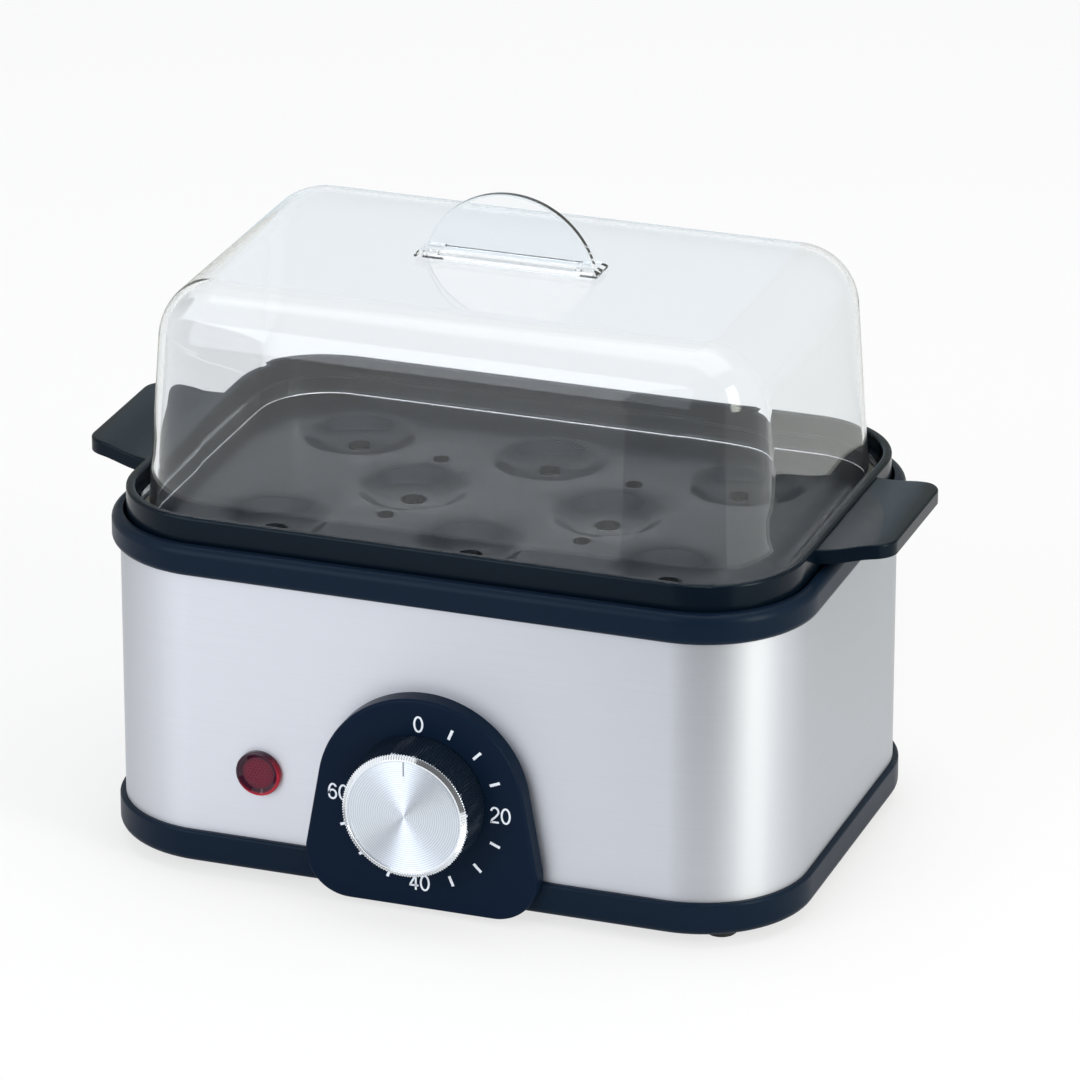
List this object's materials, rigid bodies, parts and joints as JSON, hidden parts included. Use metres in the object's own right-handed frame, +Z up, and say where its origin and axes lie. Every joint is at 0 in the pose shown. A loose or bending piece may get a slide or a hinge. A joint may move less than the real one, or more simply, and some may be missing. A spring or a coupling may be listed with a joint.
{
  "type": "electric egg cooker",
  "caption": "Electric egg cooker: brushed rectangular body with wind-up timer knob and lamp, water pan, lift-out tray with wing handles and round egg seats, clear domed lid",
  "frame": {"origin": "on the table, under the middle of the overall box", "axes": "+X to the right along the long side, +Y to the back, +Z up; the timer panel faces -Y"},
  "size_m": [0.2216, 0.1472, 0.1741],
  "materials": {
    "black_plastic": "satin moulded",
    "black_gloss": "glossy moulded",
    "rubber_feet": "matt",
    "zinc_screws": "zinc plated",
    "zinc_sheet": "zinc plated",
    "brushed_sleeve": "brushed upright",
    "pan_aluminium": "pressed, matt coated",
    "silicone_seal": "matt",
    "element_sheath": "drawn",
    "white_ceramic": "unglazed",
    "brown_plastic": "moulded",
    "fuse_brass": "drawn",
    "bell_steel": "bright pressed",
    "spun_aluminium": "spun, bright bevel",
    "red_lens": "clear red",
    "lamp_glass": "clear",
    "clear_plastic": "clear polished"
  },
  "bodies": {
    "base": {"base_tray": "black_plastic", "feet": "rubber_feet", "body_screws": "zinc_screws", "steel_sleeve": "brushed_sleeve", "tie_posts": "zinc_sheet", "top_rim": "black_plastic", "pan_carrier": "black_plastic", "heating_pan": "pan_aluminium", "pan_gasket": "silicone_seal", "pan_screws": "zinc_screws", "heating_element": "element_sheath", "element_pins": "zinc_screws", "element_collars": "white_ceramic", "thermostat": "brown_plastic", "thermostat_bracket": "zinc_sheet", "bracket_screws": "zinc_screws", "thermal_fuse": "fuse_brass", "fuse_clip": "zinc_sheet", "timer_bezel": "black_gloss", "timer_plate": "zinc_sheet", "timer_case": "zinc_sheet", "timer_bell": "bell_steel", "timer_tabs": "fuse_brass", "timer_screws": "zinc_screws", "lamp_lens": "red_lens", "lamp_holder": "black_plastic", "neon_lamp": "lamp_glass", "cord_gland": "black_plastic", "gland_nut": "zinc_screws", "terminal_block": "white_ceramic"},
    "knob": {"knob_body": "black_gloss", "knob_cap": "spun_aluminium", "timer_shaft": "fuse_brass"},
    "tray": {"egg_tray": "black_gloss"},
    "lid": {"lid_shell": "clear_plastic", "lid_handle": "clear_plastic"}
  },
  "joints": [
    {"name": "knob_turn", "type": "hinge", "parent": "base", "child": "knob", "pos_m": [0, -0.0564, 0.0329], "axis": [0, 1, 0], "range_deg": [0, 270]},
    {"name": "tray_lift", "type": "slide", "parent": "base", "child": "tray", "axis": [0, 0, 1], "range_m": [0, 0.06]},
    {"name": "lid_lift", "type": "slide", "parent": "tray", "child": "lid", "axis": [0, 0, 1], "range_m": [0, 0.12]}
  ]
}
